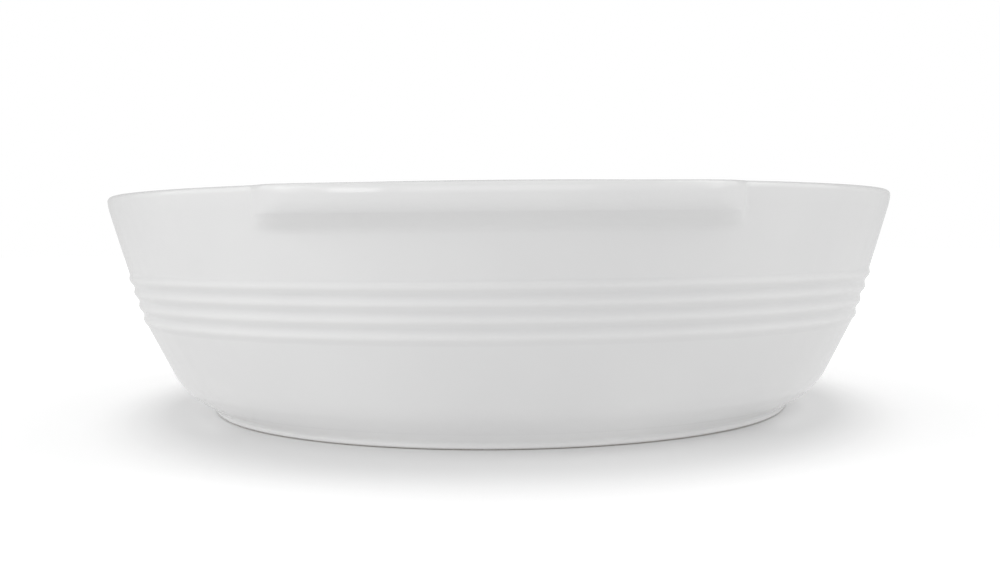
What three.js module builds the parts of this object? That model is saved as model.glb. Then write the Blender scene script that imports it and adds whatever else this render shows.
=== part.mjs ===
// Oval porcelain baking dish: a cast body with a band of moulded beads round its
// wall, a lip handle at each end, and a foot ring under the base.
// Millimetres, +Z up. The origin is on the table, under the middle of the dish.
// The long axis is Y, and the front handle is at -Y.
import * as THREE from "three";

// Driving dimensions: the body
const RIM_LENGTH = 355; // over the rim along Y, without the handles
const RIM_WIDTH = 250; // over the rim along X
const HEIGHT = 67; // table to the top of the rim
const WALL = 5.5; // thickness of the wall
const RIM_INNER_RADIUS = 2.4; // rounded edge between the rim's top and the well
const RIM_OUTER_RADIUS = 1.4; // tighter edge between the rim's top and the outside
const RIM_DRAFT = 6; // degrees from upright, just under the rim's outer edge
const FLOOR = 6; // thickness of the floor
const UPPER_DRAFT = 17; // degrees from upright, rim to band
const BAND_DRAFT = 20; // degrees from upright, along the band of beads
const LOWER_DRAFT = 26.5; // degrees from upright, band to heel
const HEEL_RADIUS = 20; // outside curve from the lower wall to the base
const HEEL_ANGLE = 22; // degrees above level where that curve meets the base
const WELL_RADIUS = 18; // inside curve from the wall to the floor

// Driving dimensions: the band of beads
const BAND_TOP = 43.6; // height of the upper edge of the band
const BEAD_COUNT = 4;
const BEAD_PITCH = 4.15;
const BEAD_RELIEF = 0.7; // how far a bead stands out of the wall

// Driving dimensions: the foot ring
const FOOT_HEIGHT = 3.4; // table to the underside of the base
const FOOT_SETBACK = 2.5; // base edge to the upright outside of the ring
const FOOT_RING_WIDTH = 9; // over the ring's upright sides
const FOOT_COVE = 1.8; // hollow between the ring's side and the base
const FOOT_EDGE_RADIUS = 0.6; // rounded edge beside the standing face

// Driving dimensions: the lip handles
const HANDLE_WIDTH = 122; // across X, tip to tip
const HANDLE_BLEND = 12; // length over which each tip fades into the wall
const LIP_PROJECTION = 5; // how far the lip stands out of the rim
const LIP_FRONT_RADIUS = 105; // curve of the lip's front edge, seen from above
const LIP_EDGE_RADIUS = 2.4; // upper half of the lip's round front edge
const LIP_ROLL_RADIUS = 4.5; // lower half, which rolls under
const LIP_DROOP = 0.3; // front edge below the rim's top, in the middle of the lip
const UNDERSIDE_SLOPE = 32; // degrees from level, where the underside falls back to the wall
const GRIP_FILLET = 2; // hollow under the lip, measured down the wall
const TIP_SHARE = 0.08; // share of the lip's projection that is left at its very tip
const SEAM = 0.3; // clay-slip joint between the wall and a handle

// How finely the round forms are divided
const OVAL_STEPS = 80;
const BEAD_STEPS = 6;
const ARC_STEPS = 5;
const EDGE_STEPS = 4;
const FOOT_STEPS = 3;
const TIP_STEPS = 8;
const GRIP_STEPS = 12;

// Heights and offsets that follow from the driving dimensions.
// An offset is measured outwards from the rim's outer oval, so the wall's is negative.
const slope = (degrees) => Math.tan(THREE.MathUtils.degToRad(degrees));
const sine = (degrees) => Math.sin(THREE.MathUtils.degToRad(degrees));
const cosine = (degrees) => Math.cos(THREE.MathUtils.degToRad(degrees));

const wallTop = HEIGHT - WALL / 2; // where the line of the upper wall would reach the rim's oval
const rimInside = new THREE.Vector2(RIM_INNER_RADIUS - WALL, HEIGHT - RIM_INNER_RADIUS);
const rimOutside = new THREE.Vector2(-RIM_OUTER_RADIUS, HEIGHT - RIM_OUTER_RADIUS);
const bandBottom = BAND_TOP - BEAD_COUNT * BEAD_PITCH;
const lowerRise = 90 - LOWER_DRAFT; // the lower wall's angle above level
const heelTop = FOOT_HEIGHT + HEEL_RADIUS * (cosine(HEEL_ANGLE) - cosine(lowerRise));
const floorLevel = FOOT_HEIGHT + FLOOR;

const upperWallOffset = (z) => -(wallTop - z) * slope(UPPER_DRAFT);
const bandWallOffset = (z) => upperWallOffset(BAND_TOP) - (BAND_TOP - z) * slope(BAND_DRAFT);
const lowerWallOffset = (z) => bandWallOffset(bandBottom) - (bandBottom - z) * slope(LOWER_DRAFT);
const heelCentre = new THREE.Vector2(
  lowerWallOffset(heelTop) - HEEL_RADIUS * sine(lowerRise),
  heelTop + HEEL_RADIUS * cosine(lowerRise),
);
const baseOffset = heelCentre.x + HEEL_RADIUS * sine(HEEL_ANGLE);

// A point on the oval at an offset from the rim, at an angle from +X.
function ovalPoint(angle, offset, z) {
  return new THREE.Vector3(
    (RIM_WIDTH / 2 + offset) * Math.cos(angle),
    (RIM_LENGTH / 2 + offset) * Math.sin(angle),
    z,
  );
}

// Points of a circular arc between two angles, in degrees, ends included.
function arcPoints(centre, radius, from, to, steps) {
  return Array.from({ length: steps + 1 }, (_, i) => {
    const angle = THREE.MathUtils.lerp(from, to, i / steps);
    return new THREE.Vector2(centre.x + radius * cosine(angle), centre.y + radius * sine(angle));
  });
}

// Triangles between rings of vertices, where each ring has `size` of them.
// A closed loft joins its last ring to its first, and closed rings join end to end.
function loftIndices(rings, size, { closedLoft, closedRing }) {
  const indices = [];
  const ringPairs = closedLoft ? rings : rings - 1;
  const spans = closedRing ? size : size - 1;
  for (let r = 0; r < ringPairs; r += 1) {
    const near = r * size;
    const far = ((r + 1) % rings) * size;
    for (let i = 0; i < spans; i += 1) {
      const next = (i + 1) % size;
      indices.push(near + i, near + next, far + next, near + i, far + next, far + i);
    }
  }
  return indices;
}

// A geometry from loose points and triangles.
function geometryFrom(points, indices) {
  const geometry = new THREE.BufferGeometry().setFromPoints(points);
  geometry.setIndex(indices);
  geometry.computeVertexNormals();
  return geometry;
}

// One ring of oval vertices for each point of a profile.
function ovalRings(profile) {
  return profile.flatMap((p) =>
    Array.from({ length: OVAL_STEPS }, (_, i) => ovalPoint((2 * Math.PI * i) / OVAL_STEPS, p.x, p.y)),
  );
}

// The outside of the rim, from its top to the upper wall: a tight edge, then a wall that
// eases from nearly upright into its full draft.
function rimOutsidePoints() {
  const edge = arcPoints(rimOutside, RIM_OUTER_RADIUS, 90, -RIM_DRAFT, ARC_STEPS);
  const start = edge[edge.length - 1];
  const turn = slope(UPPER_DRAFT) - slope(RIM_DRAFT);
  const drop = (start.x - upperWallOffset(start.y)) / turn;
  const bend = new THREE.Vector2(start.x + drop * slope(RIM_DRAFT), start.y + drop);
  const run = start.distanceTo(bend);
  const end = new THREE.Vector2(bend.x - run * sine(UPPER_DRAFT), bend.y - run * cosine(UPPER_DRAFT));
  const ease = new THREE.QuadraticBezierCurve(start, bend, end).getPoints(EDGE_STEPS);
  return [...edge, ...ease.slice(1)];
}

// The outside of the beads, from the band's top to its bottom: shallow waves in the wall.
function beadPoints() {
  const points = [];
  for (let step = 0; step <= BEAD_COUNT * BEAD_STEPS; step += 1) {
    const z = BAND_TOP - (step / BEAD_STEPS) * BEAD_PITCH;
    const swell = (1 - Math.cos((2 * Math.PI * step) / BEAD_STEPS)) / 2;
    points.push(new THREE.Vector2(bandWallOffset(z) + BEAD_RELIEF * swell, z));
  }
  return points;
}

// The inside of the wall, from the rim to the floor: a gentle curve into a round corner.
function wellPoints() {
  const wallShift = WALL / cosine(LOWER_DRAFT); // level distance through the sloping lower wall
  const wellCentre = new THREE.Vector2(0, floorLevel + WELL_RADIUS);
  const tangent = new THREE.Vector2(0, wellCentre.y - WELL_RADIUS * sine(LOWER_DRAFT));
  tangent.x = lowerWallOffset(tangent.y) - wallShift;
  wellCentre.x = tangent.x - WELL_RADIUS * cosine(LOWER_DRAFT);
  const top = new THREE.Vector2(-WALL, rimInside.y);
  const leanTop = slope(UPPER_DRAFT);
  const leanLow = slope(LOWER_DRAFT);
  const drop = (top.x - tangent.x - leanLow * (top.y - tangent.y)) / (leanTop - leanLow);
  const bend = new THREE.Vector2(top.x - leanTop * drop, top.y - drop);
  const wall = new THREE.QuadraticBezierCurve(top, bend, tangent).getPoints(ARC_STEPS);
  const corner = arcPoints(wellCentre, WELL_RADIUS, -LOWER_DRAFT, -90, ARC_STEPS);
  return [...wall, ...corner.slice(1)];
}

// The body: well, rim, upper wall, beads, lower wall and heel in one profile,
// with a flat floor inside and a flat base underneath.
function dishBodyGeometry() {
  const rim = [...arcPoints(rimInside, RIM_INNER_RADIUS, 180, 90, ARC_STEPS), ...rimOutsidePoints()];
  const heel = arcPoints(heelCentre, HEEL_RADIUS, -LOWER_DRAFT, HEEL_ANGLE - 90, ARC_STEPS);
  const profile = [...wellPoints().reverse(), ...rim.slice(1), ...beadPoints(), ...heel];
  const points = ovalRings(profile);
  const indices = loftIndices(profile.length, OVAL_STEPS, { closedLoft: false, closedRing: true });
  const floorMiddle = points.push(new THREE.Vector3(0, 0, floorLevel)) - 1;
  const baseMiddle = points.push(new THREE.Vector3(0, 0, FOOT_HEIGHT)) - 1;
  const lastRing = (profile.length - 1) * OVAL_STEPS;
  for (let i = 0; i < OVAL_STEPS; i += 1) {
    const next = (i + 1) % OVAL_STEPS;
    indices.push(floorMiddle, next, i, baseMiddle, lastRing + i, lastRing + next);
  }
  return geometryFrom(points, indices.reverse());
}

// The foot ring: a low oval ring that spreads into the base through a hollow on each side,
// with a flat standing face and eased edges.
function footRingGeometry() {
  const cove = Math.min(FOOT_COVE, 0.6 * FOOT_HEIGHT); // a low ring keeps some upright side
  const edgeRadius = Math.min(FOOT_EDGE_RADIUS, 0.2 * FOOT_HEIGHT);
  const outerSide = baseOffset - FOOT_SETBACK;
  const innerSide = outerSide - FOOT_RING_WIDTH;
  const coveTop = FOOT_HEIGHT - cove;
  const coveEnd = 60; // degrees: the hollow stops before it runs out to a feather edge
  const outerCove = arcPoints(new THREE.Vector2(outerSide + cove, coveTop), cove, 180 - coveEnd, 180, FOOT_STEPS);
  const innerCove = arcPoints(new THREE.Vector2(innerSide - cove, coveTop), cove, 0, coveEnd, FOOT_STEPS);
  const outerEdge = new THREE.Vector2(outerSide - edgeRadius, edgeRadius);
  const innerEdge = new THREE.Vector2(innerSide + edgeRadius, edgeRadius);
  const section = [
    new THREE.Vector2(innerCove[FOOT_STEPS].x, FOOT_HEIGHT),
    new THREE.Vector2(outerCove[0].x, FOOT_HEIGHT),
    ...outerCove,
    ...arcPoints(outerEdge, edgeRadius, 0, -90, FOOT_STEPS),
    ...arcPoints(innerEdge, edgeRadius, -90, -180, FOOT_STEPS),
    ...innerCove,
  ];
  const indices = loftIndices(section.length, OVAL_STEPS, { closedLoft: true, closedRing: true });
  return geometryFrom(ovalRings(section), indices.reverse());
}

// How far out the seam beside the rim and the upper wall is, at a height.
function seamOffset(z) {
  if (z > rimOutside.y) {
    return rimOutside.x + Math.sqrt((RIM_OUTER_RADIUS + SEAM) ** 2 - (z - rimOutside.y) ** 2);
  }
  const outside = rimOutsidePoints();
  const last = outside.findIndex((p) => p.y <= z);
  if (last < 0) {
    return upperWallOffset(z) + SEAM;
  }
  const [upper, lower] = [outside[last - 1], outside[last]];
  return THREE.MathUtils.mapLinear(z, upper.y, lower.y, upper.x, lower.x) + SEAM;
}

// The lip's seat against the rim, from its top edge down to the upper wall.
function seatPoints() {
  const radius = RIM_OUTER_RADIUS + SEAM;
  const topAngle = THREE.MathUtils.radToDeg(Math.asin(RIM_OUTER_RADIUS / radius));
  const besideWall = rimOutsidePoints().filter((p) => p.y < rimOutside.y);
  return [
    ...arcPoints(rimOutside, radius, topAngle, 0, EDGE_STEPS),
    ...besideWall.map((p) => new THREE.Vector2(p.x + SEAM, p.y)),
  ];
}

// The lip's cross-section in its middle: the hollow and the sloping underside, the round front
// edge, the top, and the seat against the rim. `wall` is the seam at a point's own height, and
// `out` is how far the point is on its way from there to the front edge.
function lipSection() {
  const edgeCentre = new THREE.Vector2(LIP_PROJECTION - LIP_EDGE_RADIUS, HEIGHT - LIP_EDGE_RADIUS);
  const rollCentre = new THREE.Vector2(LIP_PROJECTION - LIP_ROLL_RADIUS, edgeCentre.y);
  const edge = arcPoints(edgeCentre, LIP_EDGE_RADIUS, 0, 90, EDGE_STEPS);
  const roll = arcPoints(rollCentre, LIP_ROLL_RADIUS, UNDERSIDE_SLOPE - 90, 0, EDGE_STEPS);
  const fall = slope(UNDERSIDE_SLOPE);
  const seamLine = wallTop * slope(UPPER_DRAFT) - SEAM;
  const bendHeight = (roll[0].y - (roll[0].x + seamLine) * fall) / (1 - slope(UPPER_DRAFT) * fall);
  const footHeight = bendHeight - GRIP_FILLET;
  const hollow = new THREE.QuadraticBezierCurve(
    new THREE.Vector2(seamOffset(footHeight), footHeight),
    new THREE.Vector2(seamOffset(bendHeight), bendHeight),
    roll[0],
  ).getPoints(ARC_STEPS);
  return [...hollow, ...roll.slice(1), ...edge.slice(1), ...seatPoints()].map((p) => {
    const wall = seamOffset(p.y);
    const out = (p.x - wall) / (edgeCentre.x - wall);
    return { offset: p.x, z: p.y, wall, out: THREE.MathUtils.clamp(out, 0, 1) };
  });
}

// How much of its projection the lip has at a place along its width: all of it between
// the tips, easing down to a thin edge at each tip.
function lipShare(x) {
  const tip = HANDLE_WIDTH / 2;
  const rise = THREE.MathUtils.smootherstep(tip - Math.abs(x), 0, HANDLE_BLEND);
  return THREE.MathUtils.lerp(TIP_SHARE, 1, rise);
}

// Places along the handle's width where its section is drawn: close together at the tips.
function lipStations() {
  const tip = HANDLE_WIDTH / 2;
  const grip = tip - HANDLE_BLEND;
  const along = (from, to, steps) =>
    Array.from({ length: steps }, (_, i) => THREE.MathUtils.lerp(from, to, i / steps));
  return [
    ...along(-tip, -grip, TIP_STEPS),
    ...along(-grip, grip, GRIP_STEPS),
    ...along(grip, tip, TIP_STEPS),
    tip,
  ];
}

// How much further the lip stands out of the rim at a place along its width than it does in
// its middle, because its front edge is a flatter curve than the rim's.
function lipExtra(x) {
  const rimBack = (RIM_LENGTH / 2) * (1 - Math.sqrt(1 - ((2 * x) / RIM_WIDTH) ** 2));
  const frontBack = LIP_FRONT_RADIUS - Math.sqrt(LIP_FRONT_RADIUS ** 2 - x ** 2);
  return rimBack - frontBack;
}

// A lip handle at the -Y end: the lip's section, carried along the rim's curve and pulled
// straight out of it.
function handleGeometry() {
  const section = lipSection();
  const stations = lipStations();
  const points = stations.flatMap((x) => {
    const angle = Math.asin((2 * x) / RIM_WIDTH) - Math.PI / 2;
    const share = lipShare(x);
    const droop = LIP_DROOP * (1 - ((2 * x) / HANDLE_WIDTH) ** 2);
    return section.map((p) => {
      const point = ovalPoint(angle, p.wall, p.z);
      point.y -= share * (p.offset - p.wall + p.out * lipExtra(x));
      point.z -= droop * p.out;
      return point;
    });
  });
  const size = section.length;
  const indices = loftIndices(stations.length, size, { closedLoft: false, closedRing: true });
  const lastRing = (stations.length - 1) * size;
  const outline = section.map((p) => new THREE.Vector2(THREE.MathUtils.lerp(p.wall, p.offset, TIP_SHARE), p.z));
  for (const [a, b, c] of THREE.ShapeUtils.triangulateShape(outline, [])) {
    indices.push(a, c, b, lastRing + a, lastRing + b, lastRing + c);
  }
  return geometryFrom(points, indices.reverse());
}

// White glazed porcelain, and the bare fired clay of the foot ring's standing face.
const glaze = new THREE.MeshStandardMaterial({ color: 0xf1f1ef, roughness: 0.12, metalness: 0 });
const bareClay = new THREE.MeshStandardMaterial({ color: 0xe4e0d8, roughness: 0.75, metalness: 0 });

function named(name, geometry, material) {
  const mesh = new THREE.Mesh(geometry, material);
  mesh.name = name;
  return mesh;
}

const dish = new THREE.Group();
dish.add(named("dish_body", dishBodyGeometry(), glaze));
dish.add(named("foot_ring", footRingGeometry(), bareClay));
dish.add(named("front_handle", handleGeometry(), glaze));

const rearEnd = new THREE.Group();
rearEnd.rotation.z = Math.PI;
rearEnd.add(named("rear_handle", handleGeometry(), glaze));
dish.add(rearEnd);

export default dish;
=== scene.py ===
# An oval porcelain baking dish, dressed over its CAD frame: the glazed body with its
# two lip handles, the foot ring under it, and the white table and soft light of a studio.
import math

import bpy
from mathutils import Matrix, Vector


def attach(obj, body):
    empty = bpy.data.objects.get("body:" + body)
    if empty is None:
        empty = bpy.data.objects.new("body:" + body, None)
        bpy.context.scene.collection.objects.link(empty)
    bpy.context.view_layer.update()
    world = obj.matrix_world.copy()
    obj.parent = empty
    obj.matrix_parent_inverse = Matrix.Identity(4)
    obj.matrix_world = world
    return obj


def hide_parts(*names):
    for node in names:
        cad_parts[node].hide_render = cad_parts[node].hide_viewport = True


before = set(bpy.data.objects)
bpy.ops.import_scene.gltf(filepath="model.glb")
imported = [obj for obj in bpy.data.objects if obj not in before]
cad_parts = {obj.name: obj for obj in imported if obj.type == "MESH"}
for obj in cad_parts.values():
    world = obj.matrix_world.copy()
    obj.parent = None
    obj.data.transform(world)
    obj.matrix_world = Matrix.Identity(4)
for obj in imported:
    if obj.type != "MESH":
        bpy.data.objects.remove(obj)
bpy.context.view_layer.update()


# The dish
# One bowl of slip-cast porcelain, white all through, with a tight edge to its rim. The beads round
# its wall are relief in the mould, and the lip at each end, joined on with slip before the
# firing, flows into the rim under one coat of clear gloss glaze.
RIM_HALF_WIDTH = 0.125
RIM_HALF_LENGTH = 0.1775
RIM_STEPS = 540

# Profile points are millimetres: how far outside the rim's oval, and how high above the table.
MILLIMETRE = 0.001


def arc(centre, radius, start, end, steps):
    """Points of a circular arc from one angle to another, in degrees, ends included."""
    angles = [math.radians(start + (end - start) * i / steps) for i in range(steps + 1)]
    return [(centre[0] + radius * math.cos(a), centre[1] + radius * math.sin(a)) for a in angles]


def bow(start, bend, end, steps):
    """Points of a quadratic curve that leaves start towards bend and arrives at end from it."""
    points = []
    for i in range(steps + 1):
        t = i / steps
        near, mid, far = (1 - t) ** 2, 2 * t * (1 - t), t * t
        points.append(tuple(near * s + mid * b + far * e for s, b, e in zip(start, bend, end)))
    return points


def stretch(points, steps):
    """The same line as points, divided into equal lengths."""
    lengths = [math.dist(a, b) for a, b in zip(points, points[1:])]
    total = sum(lengths)
    result = [points[0]]
    for i in range(1, steps):
        left = total * i / steps
        for (a, b), length in zip(zip(points, points[1:]), lengths):
            if left <= length:
                break
            left -= length
        result.append(tuple(p + (q - p) * left / length for p, q in zip(a, b)))
    return result + [points[-1]]


HEIGHT = 67
WALL = 5.5
WALL_LEAN = math.tan(math.radians(17))
WALL_TOP = 64.25


def wall_offset(height):
    """Where the upper wall's outside is at a height, as an offset from the rim's oval."""
    return -(WALL_TOP - height) * WALL_LEAN


# Inside: a flat floor, a round corner and a wall that eases upright towards the rim.
FLOOR_EDGE = -38.415
FLOOR_LEVEL = 9.4
LOWER_LEAN = 26.5
WELL_RADIUS = 18
WELL_BEND = (-14.609, 34.805)
RIM_ROUND = 2.4
WELL_CORNER = arc((FLOOR_EDGE, FLOOR_LEVEL + WELL_RADIUS), WELL_RADIUS, -90, -LOWER_LEAN, 12)
WELL_WALL = bow(WELL_CORNER[-1], WELL_BEND, (-WALL, HEIGHT - RIM_ROUND), 14)
RIM_INSIDE = arc((RIM_ROUND - WALL, HEIGHT - RIM_ROUND), RIM_ROUND, 180, 90, 8)

# The rim's outside where a lip stands out of it: a level top with a tight edge, a nearly upright
# face that rolls under, and an underside that hollows back to the wall.
LIP_PROJECTION = 5.0
LIP_TOP_END = 3.36
LIP_EDGE_RADIUS = 1.36
LIP_FACE_RADIUS = 7.0
LIP_FACE_TURN = 18
LIP_FACE_FOOT = 63.9
LIP_ROLL_TURN = 58
HOLLOW_BEND = 56.5
HOLLOW_FOOT = 54.5
HOLLOW_END = (wall_offset(HOLLOW_FOOT), HOLLOW_FOOT)
LIP_TOP = stretch([RIM_INSIDE[-1], (LIP_TOP_END, HEIGHT)], 12)
LIP_EDGE = arc((LIP_TOP_END, HEIGHT - LIP_EDGE_RADIUS), LIP_EDGE_RADIUS, 90, LIP_FACE_TURN, 10)
LIP_FACE = arc((LIP_PROJECTION - LIP_FACE_RADIUS, LIP_FACE_FOOT), LIP_FACE_RADIUS, LIP_FACE_TURN, 0, 6)
LIP_ROLL = arc((0.0, LIP_FACE_FOOT), LIP_PROJECTION, 0, -LIP_ROLL_TURN, 12)
LIP_HOLLOW = bow(LIP_ROLL[-1], (wall_offset(HOLLOW_BEND), HOLLOW_BEND), HOLLOW_END, 13)
LIP_RIM = LIP_TOP + LIP_EDGE[1:] + LIP_FACE[1:] + LIP_ROLL[1:] + LIP_HOLLOW[1:]

# The same stretch along the sides of the dish: a tight edge, then a wall that leans in more and
# more on its way down. It has a point at the height of each of the lip's.
EDGE_RADIUS = 1.4
EDGE_DRAFT = 6
EASE_BEND = (-0.205, 63.58)
EASE_FOOT = 61.78
PLAIN_EDGE = arc((-EDGE_RADIUS, HEIGHT - EDGE_RADIUS), EDGE_RADIUS, 90, -EDGE_DRAFT, 20)
PLAIN_EASE = bow(PLAIN_EDGE[-1], EASE_BEND, (wall_offset(EASE_FOOT), EASE_FOOT), 16)
PLAIN_WALL = PLAIN_EDGE + PLAIN_EASE[1:] + [HOLLOW_END]


def plain_offset_at(height):
    """How far outside the rim's oval the plain rim is at a height below its top."""
    for (near, upper), (far, lower) in zip(PLAIN_WALL, PLAIN_WALL[1:]):
        if lower <= height:
            break
    return near + (far - near) * (upper - height) / (upper - lower)


PLAIN_RIM = stretch([RIM_INSIDE[-1], PLAIN_EDGE[0]], 12)
PLAIN_RIM += [(plain_offset_at(height), height) for offset, height in LIP_RIM[len(LIP_TOP):]]

# Four beads below the middle of the wall, with glaze pooled and shade painted in the grooves between
# them.
BAND_TOP = 43.8
BEADS = 4
BEAD_PITCH = 4.15
BEAD_RELIEF = 0.7
BEAD_STEPS = 10
BAND_LEAN = math.tan(math.radians(18.5))
BAND = []
for step in range(BEADS * BEAD_STEPS + 1):
    across = step / BEAD_STEPS
    height = BAND_TOP - across * BEAD_PITCH
    swell = (1 - math.cos(2 * math.pi * across)) / 2
    wall = wall_offset(BAND_TOP) - (BAND_TOP - height) * BAND_LEAN
    BAND.append((wall + BEAD_RELIEF * swell, height))

# Below them a straight stretch, and the heel that curves in under the dish.
HEEL_CENTRE = (-37.224, 21.944)
HEEL_RADIUS = 20
HEEL_TURN = 68
HEEL = arc(HEEL_CENTRE, HEEL_RADIUS, -LOWER_LEAN, -HEEL_TURN, 14)
UPPER_WALL = stretch([PLAIN_RIM[-1], BAND[0]], 8)
LOWER_WALL = stretch([BAND[-1], HEEL[0]], 8)

# Seen from above, a lip's front edge is a little flatter than the rim behind it. Seen from the
# front, it droops towards its middle.
LIP_REACH = 0.061
LIP_FADE = 0.011
LIP_TIP_POWER = 2.5
LIP_FRONT_RADIUS = 0.105
LIP_DROOP = 0.0003
LIP_ROOT = -2.0
LIP_FRONT = 3.0


def lip_share(across):
    """How much of a lip there is at a distance from the dish's middle line, creased at its tips."""
    t = max(0.0, min(1.0, (LIP_REACH - abs(across)) / LIP_FADE))
    return 1 - (1 - t) ** LIP_TIP_POWER


def lip_extra(across):
    """How much further a lip stands out of the curved rim there than it does in its middle."""
    rim_back = RIM_HALF_LENGTH * (1 - math.sqrt(max(0.0, 1 - (across / RIM_HALF_WIDTH) ** 2)))
    front_back = LIP_FRONT_RADIUS - math.sqrt(max(0.0, LIP_FRONT_RADIUS ** 2 - across ** 2))
    return rim_back - front_back


# A wire ring at the floor's edge, drawn up the inside, over the rim and down the outside. Its points
# lie closer together near the lips' tips, two thirds of the way round from the sides to the ends.
TIP_CROWDING = 0.1
bpy.ops.object.select_all(action="DESELECT")
bpy.ops.mesh.primitive_circle_add(vertices=RIM_STEPS, radius=1, fill_type="NOTHING")
dish = bpy.context.object
dish.name = "glazed_dish"
for vertex in dish.data.vertices:
    angle = math.atan2(vertex.co.y, vertex.co.x)
    angle -= TIP_CROWDING * math.sin(6 * angle)
    vertex.co.x = math.cos(angle)
    vertex.co.y = math.sin(angle)
bpy.ops.object.mode_set(mode="EDIT")
bpy.ops.mesh.select_all(action="SELECT")
ring_width = RIM_HALF_WIDTH + WELL_CORNER[0][0] * MILLIMETRE
ring_length = RIM_HALF_LENGTH + WELL_CORNER[0][0] * MILLIMETRE
ring_height = FLOOR_LEVEL * MILLIMETRE
bpy.ops.transform.resize(value=(ring_width, ring_length, 1))
bpy.ops.transform.translate(value=(0, 0, ring_height))


def draw_ring(offset, height):
    """Extrudes the selected ring to its next place on the profile."""
    global ring_width, ring_length, ring_height
    width = RIM_HALF_WIDTH + offset * MILLIMETRE
    length = RIM_HALF_LENGTH + offset * MILLIMETRE
    rise = height * MILLIMETRE - ring_height
    bpy.ops.mesh.extrude_edges_move(TRANSFORM_OT_translate={"value": (0, 0, rise)})
    bpy.ops.transform.resize(value=(width / ring_width, length / ring_length, 1))
    ring_width, ring_length, ring_height = width, length, height * MILLIMETRE


INSIDE = WELL_CORNER + WELL_WALL[1:] + RIM_INSIDE[1:]
OUTSIDE = UPPER_WALL[1:] + BAND[1:] + LOWER_WALL[1:] + HEEL[1:]
PROFILE = INSIDE + PLAIN_RIM[1:] + OUTSIDE
for offset, height in PROFILE[1:]:
    draw_ring(offset, height)


def close_ring():
    """Fills the selected ring level, with a few rings that shrink towards its middle."""
    for inward in (0.9, 0.6, 0.3):
        bpy.ops.mesh.extrude_edges_move(TRANSFORM_OT_translate={"value": (0, 0, 0)})
        bpy.ops.transform.resize(value=(inward, inward, 1))
    bpy.ops.mesh.extrude_edges_move(TRANSFORM_OT_translate={"value": (0, 0, 0)})
    bpy.ops.mesh.merge(type="CENTER")


# The base closes the last ring, and the floor the first.
close_ring()
bpy.ops.mesh.select_all(action="DESELECT")
bpy.ops.mesh.select_non_manifold(extend=False)
close_ring()
bpy.ops.object.mode_set(mode="OBJECT")

# The lips are pulled out of the rim, ring by ring, at both ends of the dish.
for ring, (plain, lip) in enumerate(zip(PLAIN_RIM, LIP_RIM)):
    plain_offset = plain[0]
    lip_offset = lip[0]
    first = (len(INSIDE) - 1 + ring) * RIM_STEPS
    edge_share = min(1.0, max(0.0, (lip_offset - LIP_ROOT) / (LIP_FRONT - LIP_ROOT)))
    for vertex in dish.data.vertices[first:first + RIM_STEPS]:
        share = lip_share(vertex.co.x)
        reach = (lip_offset - plain_offset) * MILLIMETRE + lip_extra(vertex.co.x) * edge_share
        vertex.co.y += math.copysign(reach * share, vertex.co.y)
        vertex.co.z -= LIP_DROOP * edge_share * max(0.0, 1 - (vertex.co.x / LIP_REACH) ** 2)

bpy.ops.object.mode_set(mode="EDIT")
bpy.ops.mesh.select_all(action="SELECT")
bpy.ops.mesh.normals_make_consistent(inside=False)
bpy.ops.object.mode_set(mode="OBJECT")
bpy.ops.object.shade_smooth()

# Before it set, the glaze drew back from edges and bead crests and gathered in grooves and hollows. The
# same measure of bend paints shade into the grooves and hollows and light onto the edges and crests.
GROOVE_BEND = 0.8
glaze_pooling_and_painted_shade = dish.data.attributes.new("glaze_pooling_and_painted_shade", "FLOAT", "POINT")
for ring in range(1, len(PROFILE) - 1):
    before = Vector(PROFILE[ring]) - Vector(PROFILE[ring - 1])
    after = Vector(PROFILE[ring + 1]) - Vector(PROFILE[ring])
    turn = math.atan2(before.x * after.y - before.y * after.x, before.dot(after))
    bend = turn / ((before.length + after.length) / 2)
    for vertex in range(ring * RIM_STEPS, (ring + 1) * RIM_STEPS):
        glaze_pooling_and_painted_shade.data[vertex].value = max(-1.0, min(1.0, bend / GROOVE_BEND))


def add_node(tree, kind, label, place, **inputs):
    """A node with a label, placed in its tree, with some of its sockets set."""
    node = tree.nodes.new(kind)
    node.name = label
    node.label = label
    node.location = place
    for socket, value in inputs.items():
        node.inputs[socket.replace("_", " ")].default_value = value
    return node


def add_ramp(tree, label, place, span, values, soft=False):
    """A node that takes a span of its input to a span of values, holds the ends, and eases if soft."""
    node = add_node(tree, "ShaderNodeMapRange", label, place, To_Min=values[0], To_Max=values[1])
    node.inputs["From Min"].default_value = span[0]
    node.inputs["From Max"].default_value = span[1]
    if soft:
        node.interpolation_type = "SMOOTHSTEP"
    return node


# The coat of glaze: a shade greyer where it is thick, which also paints shade into grooves and light
# onto edges and crests, with slow changes in depth and gloss over the whole piece and a ripple too
# shallow to see except in its reflections.
THIN_GLAZE_AND_PAINTED_LIGHT = (0.828, 0.828, 0.826, 1)
THICK_GLAZE_AND_PAINTED_SHADE = (0.766, 0.766, 0.768, 1)
USUAL_NOISE = (0.3, 0.7)
GLOSSIEST = 0.08
LEAST_GLOSSY = 0.13
RIPPLE_DEPTH = 0.00003
coat = bpy.data.node_groups.new("glaze_coat", "ShaderNodeTree")
coat.interface.new_socket("Colour", in_out="OUTPUT", socket_type="NodeSocketColor")
coat.interface.new_socket("Roughness", in_out="OUTPUT", socket_type="NodeSocketFloat")
coat.interface.new_socket("Ripple", in_out="OUTPUT", socket_type="NodeSocketFloat")
place = add_node(coat, "ShaderNodeTexCoord", "on the piece", (-800, 0))
drift = add_node(coat, "ShaderNodeTexNoise", "slow drift", (-600, 0), Scale=22, Detail=2)
ripple = add_node(coat, "ShaderNodeTexNoise", "ripple", (-600, -300), Scale=110, Detail=1)
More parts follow.
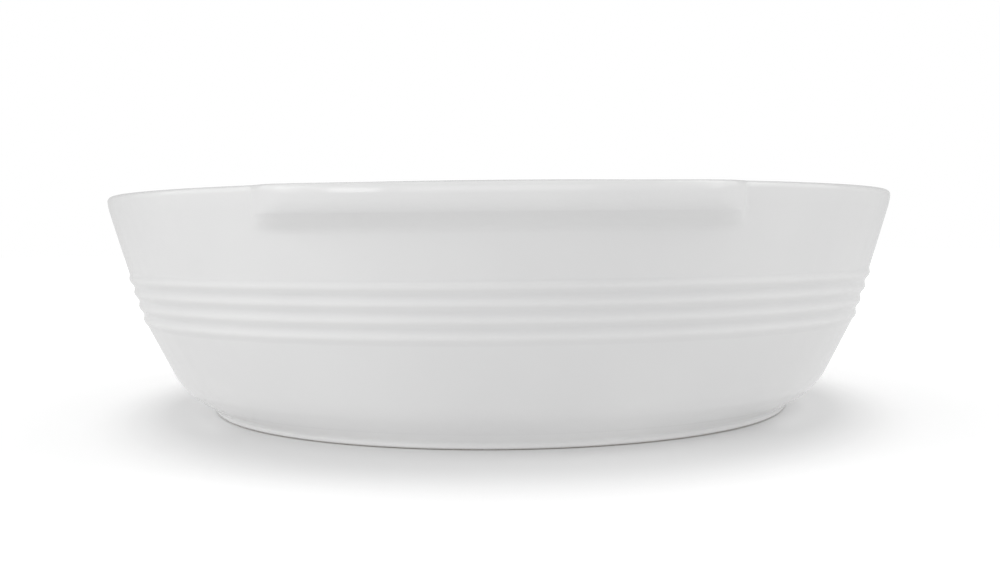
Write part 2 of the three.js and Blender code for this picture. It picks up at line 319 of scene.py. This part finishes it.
# The bend measure carries painted shade in the grooves and painted light on edges and crests, along with
# the glaze pooling.
pooling_and_shade = add_node(coat, "ShaderNodeAttribute", "glaze pooling and painted shade", (-600, 300))
pooling_and_shade.attribute_name = "glaze_pooling_and_painted_shade"
hollow = add_ramp(coat, "edge to hollow", (-400, 300), (-1, 1), (0.1, 0.9))
uneven = add_ramp(coat, "uneven depth", (-400, 0), USUAL_NOISE, (-0.25, 0.25))
thick = add_node(coat, "ShaderNodeMath", "glaze thickness and painted shade", (-200, 300))
thick.use_clamp = True
shade = add_node(coat, "ShaderNodeMix", "thin to thick glaze and painted shade", (0, 300))
shade.data_type = "RGBA"
shade.inputs["A"].default_value = THIN_GLAZE_AND_PAINTED_LIGHT
shade.inputs["B"].default_value = THICK_GLAZE_AND_PAINTED_SHADE
gloss = add_ramp(coat, "gloss", (0, 0), USUAL_NOISE, (GLOSSIEST, LEAST_GLOSSY))
coated = add_node(coat, "NodeGroupOutput", "coat", (200, 0))
coat.links.new(place.outputs["Object"], drift.inputs["Vector"])
coat.links.new(place.outputs["Object"], ripple.inputs["Vector"])
coat.links.new(pooling_and_shade.outputs["Fac"], hollow.inputs["Value"])
coat.links.new(drift.outputs["Fac"], uneven.inputs["Value"])
coat.links.new(hollow.outputs["Result"], thick.inputs[0])
coat.links.new(uneven.outputs["Result"], thick.inputs[1])
coat.links.new(thick.outputs["Value"], shade.inputs["Factor"])
coat.links.new(drift.outputs["Fac"], gloss.inputs["Value"])
coat.links.new(shade.outputs["Result"], coated.inputs["Colour"])
coat.links.new(gloss.outputs["Result"], coated.inputs["Roughness"])
coat.links.new(ripple.outputs["Fac"], coated.inputs["Ripple"])


def add_coat(tree):
    """The coat of glaze in a material, with its ripple as a normal."""
    group = add_node(tree, "ShaderNodeGroup", "glaze coat", (-600, 200))
    group.node_tree = coat
    bump = add_node(tree, "ShaderNodeBump", "ripple", (-200, -200), Distance=RIPPLE_DEPTH)
    tree.links.new(group.outputs["Ripple"], bump.inputs["Height"])
    return group, bump


GLAZE_IOR = 1.5
glaze = bpy.data.materials.new("white_gloss_glaze")
glaze.use_nodes = True
tree = glaze.node_tree
shader = tree.nodes["Principled BSDF"]
shader.inputs["IOR"].default_value = GLAZE_IOR
group, bump = add_coat(tree)
tree.links.new(group.outputs["Colour"], shader.inputs["Base Color"])
tree.links.new(group.outputs["Roughness"], shader.inputs["Roughness"])
tree.links.new(bump.outputs["Normal"], shader.inputs["Normal"])
dish.data.materials.append(glaze)

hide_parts("dish_body", "front_handle", "rear_handle")
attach(dish, "root")


# The foot ring
# A low ring of the same porcelain that the dish stands on, joined to the base with slip.
# Glaze covers its sides, and is wiped off its standing face so that it doesn't stick in the kiln.
FOOT_OUTER = -32.3
FOOT_INNER = -41.23
FOOT_TOP = (-27.24, 4.65)
SLOPE_END = (-31.3, 2.27)
SLOPE_BEND = 1.69
FLANK_FOOT = 0.95
FOOT_EDGE_RADIUS = 0.9
INNER_EDGE_RADIUS = 0.6
COVE_FOOT = 1.1
COVE_BEND = 3.3
COVE_END = (-43.4, 3.45)
ROOT_START = (-29.8, 3.5)
ROOT_DEPTH = 0.1
FOOT_SLOPE = stretch([FOOT_TOP, SLOPE_END], 6)
FOOT_FLANK = bow(SLOPE_END, (FOOT_OUTER, SLOPE_BEND), (FOOT_OUTER, FLANK_FOOT), 10)
FOOT_OUTSIDE = FOOT_SLOPE + FOOT_FLANK[1:]
FOOT_EDGE = arc((FOOT_OUTER - FOOT_EDGE_RADIUS, FOOT_EDGE_RADIUS), FOOT_EDGE_RADIUS, 0, -90, 10)
FOOT_INSIDE = arc((FOOT_INNER + INNER_EDGE_RADIUS, INNER_EDGE_RADIUS), INNER_EDGE_RADIUS, -90, -180, 8)
FOOT_COVE = bow((FOOT_INNER, COVE_FOOT), (FOOT_INNER, COVE_BEND), COVE_END, 8)
FOOT_ROOT = [ROOT_START] + arc(HEEL_CENTRE, HEEL_RADIUS - ROOT_DEPTH, -66, -61, 3)

bpy.ops.object.select_all(action="DESELECT")
bpy.ops.mesh.primitive_circle_add(vertices=RIM_STEPS, radius=1, fill_type="NOTHING")
foot = bpy.context.object
foot.name = "foot_ring_fired"
bpy.ops.object.mode_set(mode="EDIT")
bpy.ops.mesh.select_all(action="SELECT")
ring_width = RIM_HALF_WIDTH + FOOT_OUTSIDE[0][0] * MILLIMETRE
ring_length = RIM_HALF_LENGTH + FOOT_OUTSIDE[0][0] * MILLIMETRE
ring_height = FOOT_OUTSIDE[0][1] * MILLIMETRE
bpy.ops.transform.resize(value=(ring_width, ring_length, 1))
bpy.ops.transform.translate(value=(0, 0, ring_height))
for offset, height in FOOT_OUTSIDE[1:] + FOOT_EDGE + FOOT_INSIDE + FOOT_COVE + FOOT_ROOT:
    draw_ring(offset, height)
bpy.ops.mesh.select_all(action="DESELECT")
bpy.ops.mesh.select_non_manifold(extend=False)
bpy.ops.mesh.bridge_edge_loops()
bpy.ops.mesh.select_all(action="SELECT")
bpy.ops.mesh.normals_make_consistent(inside=False)
bpy.ops.object.mode_set(mode="OBJECT")
bpy.ops.object.shade_smooth_by_angle(angle=math.radians(40))

# Glaze down to a wavering line just above the table, and dry, faintly sandy clay below it.
GLAZE_LINE = 0.0002
LINE_WAVER = 0.00015
LINE_SOFTNESS = 0.00005
DARK_CLAY = (0.72, 0.68, 0.62, 1)
PALE_CLAY = (0.82, 0.79, 0.74, 1)
CLAY_ROUGHNESS = 0.75
fired = bpy.data.materials.new("glaze_and_bare_clay")
fired.use_nodes = True
tree = fired.node_tree
shader = tree.nodes["Principled BSDF"]
shader.inputs["IOR"].default_value = GLAZE_IOR
group, bump = add_coat(tree)
place = add_node(tree, "ShaderNodeTexCoord", "on the ring", (-1200, -200))
split = add_node(tree, "ShaderNodeSeparateXYZ", "height", (-1000, -200))
waver = add_node(tree, "ShaderNodeTexNoise", "wavering line", (-1000, -400), Scale=140, Detail=2)
line_span = (GLAZE_LINE - LINE_WAVER, GLAZE_LINE + LINE_WAVER)
line = add_ramp(tree, "line height", (-800, -400), (0, 1), line_span)
over = add_node(tree, "ShaderNodeMath", "above the line", (-600, -300))
over.operation = "SUBTRACT"
glazed = add_ramp(tree, "glazed", (-400, -300), (-LINE_SOFTNESS, LINE_SOFTNESS), (0, 1))
grain = add_node(tree, "ShaderNodeTexNoise", "clay grain", (-1000, -700), Scale=1800, Detail=3)
sand = add_node(tree, "ShaderNodeMix", "clay", (-600, -600))
sand.data_type = "RGBA"
sand.inputs["A"].default_value = DARK_CLAY
sand.inputs["B"].default_value = PALE_CLAY
colour = add_node(tree, "ShaderNodeMix", "clay or glaze", (-200, 200))
colour.data_type = "RGBA"
matt = add_node(tree, "ShaderNodeMix", "matt or gloss", (-200, 0))
matt.inputs["A"].default_value = CLAY_ROUGHNESS
tree.links.new(place.outputs["Object"], split.inputs["Vector"])
tree.links.new(place.outputs["Object"], waver.inputs["Vector"])
tree.links.new(place.outputs["Object"], grain.inputs["Vector"])
tree.links.new(waver.outputs["Fac"], line.inputs["Value"])
tree.links.new(split.outputs["Z"], over.inputs[0])
tree.links.new(line.outputs["Result"], over.inputs[1])
tree.links.new(over.outputs["Value"], glazed.inputs["Value"])
tree.links.new(grain.outputs["Fac"], sand.inputs["Factor"])
tree.links.new(glazed.outputs["Result"], colour.inputs["Factor"])
tree.links.new(sand.outputs["Result"], colour.inputs["A"])
tree.links.new(group.outputs["Colour"], colour.inputs["B"])
tree.links.new(glazed.outputs["Result"], matt.inputs["Factor"])
tree.links.new(group.outputs["Roughness"], matt.inputs["B"])
tree.links.new(colour.outputs["Result"], shader.inputs["Base Color"])
tree.links.new(matt.outputs["Result"], shader.inputs["Roughness"])
tree.links.new(bump.outputs["Normal"], shader.inputs["Normal"])
foot.data.materials.append(fired)

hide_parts("foot_ring")
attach(foot, "root")


# The table
# A smooth white shooting table, lit from below as well, that runs out into a white background.
TABLE_RADIUS = 6
TABLE_TOP = (0, 0, -0.0001)
bpy.ops.object.select_all(action="DESELECT")
bpy.ops.mesh.primitive_circle_add(vertices=64, radius=TABLE_RADIUS, fill_type="NGON", location=TABLE_TOP)
table = bpy.context.object
table.name = "studio_table"
table_white = bpy.data.materials.new("table_white")
table_white.use_nodes = True
tree = table_white.node_tree
tree.nodes.clear()


def add_seen_by_eye(tree, place):
    """1 for a ray from the camera, a reflection or a clear surface, and 0 for scattered light."""
    path = add_node(tree, "ShaderNodeLightPath", "seen by", (place[0] - 400, place[1]))
    mirrored = add_node(tree, "ShaderNodeMath", "camera or mirror", (place[0] - 200, place[1]))
    direct = add_node(tree, "ShaderNodeMath", "seen directly", place)
    direct.use_clamp = True
    tree.links.new(path.outputs["Is Camera Ray"], mirrored.inputs[0])
    tree.links.new(path.outputs["Is Glossy Ray"], mirrored.inputs[1])
    tree.links.new(mirrored.outputs[0], direct.inputs[0])
    tree.links.new(path.outputs["Is Transmission Ray"], direct.inputs[1])
    return direct.outputs[0]


# Under the dish the sheet gives off less light. Close round the foot it gives off most of all.
TABLE_GLOW = 0.37
FOOT_GLOW = 0.55
FOOT_HALF_WIDTH = RIM_HALF_WIDTH + FOOT_OUTER * MILLIMETRE
FOOT_HALF_LENGTH = RIM_HALF_LENGTH + FOOT_OUTER * MILLIMETRE
place = add_node(tree, "ShaderNodeTexCoord", "on the table", (-1000, -480))
feet = add_node(tree, "ShaderNodeMapping", "ovals round the foot", (-800, -160))
feet.inputs["Scale"].default_value = (1 / FOOT_HALF_WIDTH, 1 / FOOT_HALF_LENGTH, 0)
clear_of = add_node(tree, "ShaderNodeVectorMath", "away from the foot", (-600, -160))
clear_of.operation = "LENGTH"
under = add_ramp(tree, "less under the foot", (-400, -160), (1.0, 1.006), (TABLE_GLOW / 4, FOOT_GLOW))
beyond = add_ramp(tree, "less away from it", (-400, 100), (1.01, 1.045), (0, FOOT_GLOW - TABLE_GLOW))
shine = add_node(tree, "ShaderNodeMath", "glow", (-200, -160))
shine.operation = "SUBTRACT"
paint = add_node(tree, "ShaderNodeBsdfDiffuse", "opal sheet", (0, 0), Color=(0.45, 0.45, 0.45, 1))
glow = add_node(tree, "ShaderNodeEmission", "lit from below", (0, -160), Color=(1, 1, 1, 1))
lit = add_node(tree, "ShaderNodeAddShader", "lit sheet", (200, -80))
tree.links.new(place.outputs["Object"], feet.inputs["Vector"])
tree.links.new(feet.outputs["Vector"], clear_of.inputs[0])
tree.links.new(clear_of.outputs["Value"], under.inputs["Value"])
tree.links.new(clear_of.outputs["Value"], beyond.inputs["Value"])
tree.links.new(under.outputs["Result"], shine.inputs[0])
tree.links.new(beyond.outputs["Result"], shine.inputs[1])
tree.links.new(shine.outputs["Value"], glow.inputs["Strength"])
tree.links.new(paint.outputs[0], lit.inputs[0])
tree.links.new(glow.outputs[0], lit.inputs[1])

# To the eye it keeps the dish's soft shadow in an oval, and runs out into white round it.
SHADOW_BACK = 0.0158
SHADOW_HALF_WIDTH = 0.1108
SHADOW_HALF_LENGTH = 0.2191
NEAR_LIFT = 0.275
FAR_LIFT = 0.27
ovals = add_node(tree, "ShaderNodeMapping", "ovals round the dish", (-800, -480))
ovals.inputs["Location"].default_value = (0, -SHADOW_BACK / SHADOW_HALF_LENGTH, 0)
ovals.inputs["Scale"].default_value = (1 / SHADOW_HALF_WIDTH, 1 / SHADOW_HALF_LENGTH, 0)
away = add_node(tree, "ShaderNodeVectorMath", "away from the dish", (-600, -480))
away.operation = "LENGTH"
near = add_ramp(tree, "beside the dish", (-400, -480), (0.873, 1.2), (0, NEAR_LIFT), soft=True)
far = add_ramp(tree, "far from the dish", (-400, -740), (1.08, 3.2), (0, FAR_LIFT), soft=True)
level = add_node(tree, "ShaderNodeMath", "how white", (-200, -480))
tree.links.new(place.outputs["Object"], ovals.inputs["Vector"])
tree.links.new(ovals.outputs["Vector"], away.inputs[0])
tree.links.new(away.outputs["Value"], near.inputs["Value"])
tree.links.new(away.outputs["Value"], far.inputs["Value"])
tree.links.new(near.outputs["Result"], level.inputs[0])
tree.links.new(far.outputs["Result"], level.inputs[1])

# Close to both sides of the foot the shadow is a little lighter, as it is in the photograph.
FLANK_LIFT = 0.08
split = add_node(tree, "ShaderNodeSeparateXYZ", "across the table", (-800, 400))
aside = add_node(tree, "ShaderNodeMath", "to either side", (-600, 400))
aside.operation = "ABSOLUTE"
flank = add_ramp(tree, "beside the foot", (-400, 400), (0.07, 0.085), (0, FLANK_LIFT), soft=True)
close = add_ramp(tree, "close to the foot", (-400, 660), (1.05, 1.16), (1, 0), soft=True)
paler = add_node(tree, "ShaderNodeMath", "paler shadow", (-200, 400))
paler.operation = "MULTIPLY"
whole = add_node(tree, "ShaderNodeMath", "how white in all", (-100, -640))
tree.links.new(place.outputs["Object"], split.inputs["Vector"])
tree.links.new(split.outputs["X"], aside.inputs[0])
tree.links.new(aside.outputs["Value"], flank.inputs["Value"])
tree.links.new(clear_of.outputs["Value"], close.inputs["Value"])
tree.links.new(flank.outputs["Result"], paler.inputs[0])
tree.links.new(close.outputs["Result"], paler.inputs[1])
tree.links.new(level.outputs["Value"], whole.inputs[0])
tree.links.new(paler.outputs["Value"], whole.inputs[1])

# The sheet that is seen, and the one that lights the dish.
white = add_node(tree, "ShaderNodeBsdfDiffuse", "white sheet", (0, -320), Color=(0.81, 0.81, 0.81, 1))
lift = add_node(tree, "ShaderNodeEmission", "lift to white", (0, -480), Color=(1, 1, 1, 1))
clear = add_node(tree, "ShaderNodeAddShader", "clear white", (200, -400))
pick = add_node(tree, "ShaderNodeMixShader", "white where seen", (400, 0))
out = add_node(tree, "ShaderNodeOutputMaterial", "surface", (600, 0))
tree.links.new(whole.outputs["Value"], lift.inputs["Strength"])
tree.links.new(white.outputs[0], clear.inputs[0])
tree.links.new(lift.outputs[0], clear.inputs[1])
tree.links.new(add_seen_by_eye(tree, (200, 200)), pick.inputs[0])
tree.links.new(lit.outputs[0], pick.inputs[1])
tree.links.new(clear.outputs[0], pick.inputs[2])
tree.links.new(pick.outputs[0], out.inputs["Surface"])
table.data.materials.append(table_white)


# The grey card
# A sheet of grey card round the dish that turns up into a low wall, higher and darker behind.
# Only the glaze mirrors it, along the dish's edges, which keeps them apart from the white background.
CARD_INSIDE = -0.022
CARD_HALF_WIDTH = 0.28
CARD_HALF_LENGTH = 0.45
CARD_HEIGHT = 0.1
CARD_RISE = 1.5
CARD_FOOT_GREY = 0.78
CARD_TOP_GREY = 0.2
CARD_TOP_LEVEL = 0.3
bpy.ops.object.select_all(action="DESELECT")
bpy.ops.mesh.primitive_circle_add(vertices=64, radius=1, fill_type="NOTHING")
card = bpy.context.object
card.name = "grey_card"
bpy.ops.object.mode_set(mode="EDIT")
bpy.ops.mesh.select_all(action="SELECT")
inner_width = RIM_HALF_WIDTH + CARD_INSIDE
inner_length = RIM_HALF_LENGTH + CARD_INSIDE
bpy.ops.transform.resize(value=(inner_width, inner_length, 1))
bpy.ops.mesh.extrude_edges_move(TRANSFORM_OT_translate={"value": (0, 0, 0)})
bpy.ops.transform.resize(value=(CARD_HALF_WIDTH / inner_width, CARD_HALF_LENGTH / inner_length, 1))
bpy.ops.mesh.extrude_edges_move(TRANSFORM_OT_translate={"value": (0, 0, CARD_HEIGHT)})
bpy.ops.object.mode_set(mode="OBJECT")
for vertex in card.data.vertices:
    if vertex.co.z > CARD_HEIGHT / 2:
        vertex.co.z += CARD_RISE * max(0.0, vertex.co.y)
card.visible_camera = False
card.visible_diffuse = False
card.visible_transmission = False
card.visible_shadow = False
card_grey = bpy.data.materials.new("card_grey")
card_grey.use_nodes = True
tree = card_grey.node_tree
tree.nodes.clear()
place = add_node(tree, "ShaderNodeTexCoord", "on the card", (-600, 0))
split = add_node(tree, "ShaderNodeSeparateXYZ", "how high", (-400, 0))
greys = (CARD_FOOT_GREY, CARD_TOP_GREY)
fade = add_ramp(tree, "darker at the top", (-200, 0), (0, CARD_TOP_LEVEL), greys)
grey = add_node(tree, "ShaderNodeEmission", "grey card", (0, 0), Color=(1, 1, 1, 1))
out = add_node(tree, "ShaderNodeOutputMaterial", "surface", (200, 0))
tree.links.new(place.outputs["Object"], split.inputs["Vector"])
tree.links.new(split.outputs["Z"], fade.inputs["Value"])
tree.links.new(fade.outputs["Result"], grey.inputs["Strength"])
tree.links.new(grey.outputs[0], out.inputs["Surface"])
card.data.materials.append(card_grey)


# The light
# A white tent all round with its top left dim, soft panels high and low at both sides, weaker ones
# behind and in front, and a small bright softbox to the left of the camera.
TENT_LEVEL = 0.68
OVERHEAD_LEVEL = 0.1
DIMMING = (0.35, 0.8)
world = bpy.data.worlds.new("white_tent")
bpy.context.scene.world = world
world.use_nodes = True
tree = world.node_tree
tree.nodes.clear()
tent = add_node(tree, "ShaderNodeBackground", "tent", (0, 0), Color=(1, 1, 1, 1), Strength=TENT_LEVEL)
backdrop = add_node(tree, "ShaderNodeBackground", "backdrop", (0, -160), Color=(1, 1, 1, 1))
pick = add_node(tree, "ShaderNodeMixShader", "white where seen", (200, 0))
out = add_node(tree, "ShaderNodeOutputWorld", "world", (400, 0))
way = add_node(tree, "ShaderNodeTexCoord", "which way", (-600, -160))
split = add_node(tree, "ShaderNodeSeparateXYZ", "how far up", (-400, -160))
dim = add_ramp(tree, "dimmer overhead", (-200, -160), DIMMING, (1, OVERHEAD_LEVEL))
tree.links.new(way.outputs["Generated"], split.inputs["Vector"])
tree.links.new(split.outputs["Z"], dim.inputs["Value"])
tree.links.new(dim.outputs["Result"], backdrop.inputs["Strength"])
tree.links.new(add_seen_by_eye(tree, (0, 200)), pick.inputs[0])
tree.links.new(tent.outputs[0], pick.inputs[1])
tree.links.new(backdrop.outputs[0], pick.inputs[2])
tree.links.new(pick.outputs[0], out.inputs["Surface"])


PANEL_AIM = Vector((0, 0, 0.05))


def add_panel(name, place, width, height, brightness):
    """An oblong soft panel that faces the dish, as bright all over as a white of that strength."""
    bpy.ops.object.light_add(type="AREA", location=place)
    panel = bpy.context.object
    panel.name = name
    panel.data.shape = "RECTANGLE"
    panel.data.size = width
    panel.data.size_y = height
    panel.data.energy = brightness * math.pi * width * height
    panel.rotation_euler = (PANEL_AIM - Vector(place)).to_track_quat("-Z", "Y").to_euler()


add_panel("left_panel", (-1.2, -0.35, 0.75), 0.6, 0.6, 1.65)
add_panel("left_overhead_panel", (-1.1, 0.1, 1.2), 0.8, 0.8, 0.65)
add_panel("left_front_panel", (-1.0, -0.8, 0.8), 0.6, 0.6, 0.4)
add_panel("left_low_panel", (-1.3, -0.5, 0.3), 0.6, 0.4, 0.9)
add_panel("right_panel", (1.2, -0.35, 0.75), 0.6, 0.6, 0.75)
add_panel("right_overhead_panel", (1.1, 0.1, 1.2), 0.8, 0.8, 1.7)
add_panel("right_low_panel", (1.35, -0.4, 0.3), 0.6, 0.4, 1.0)
add_panel("rear_overhead_panel", (0.0, 1.2, 1.0), 1.6, 0.8, 0.62)
add_panel("front_fill", (0.0, -1.4, 0.6), 1.4, 0.4, 0.9)
add_panel("front_softbox", (-0.80, -0.97, 0.45), 0.34, 0.32, 2.6)


# The camera
# Level with the dish's wall and close to its front end, a little tilted down and to one side.
FOCAL_PIXELS = 1714
IMAGE_WIDTH = 1000
SENSOR_WIDTH = 36
CAMERA_PLACE = (0.0001, -0.576, 0.05312)
TILT_DOWN = 1.56
ROLL = -0.545
bpy.ops.object.camera_add(location=CAMERA_PLACE)
camera = bpy.context.object
camera.name = "photo_camera"
camera.data.sensor_width = SENSOR_WIDTH
camera.data.lens = SENSOR_WIDTH * FOCAL_PIXELS / IMAGE_WIDTH
camera.data.clip_start = 0.01
tilt = Matrix.Rotation(math.radians(90 - TILT_DOWN), 4, "X")
roll = Matrix.Rotation(math.radians(ROLL), 4, "Z")
camera.rotation_euler = (tilt @ roll).to_euler()
bpy.context.scene.camera = camera
bpy.context.scene.view_settings.view_transform = "Standard"
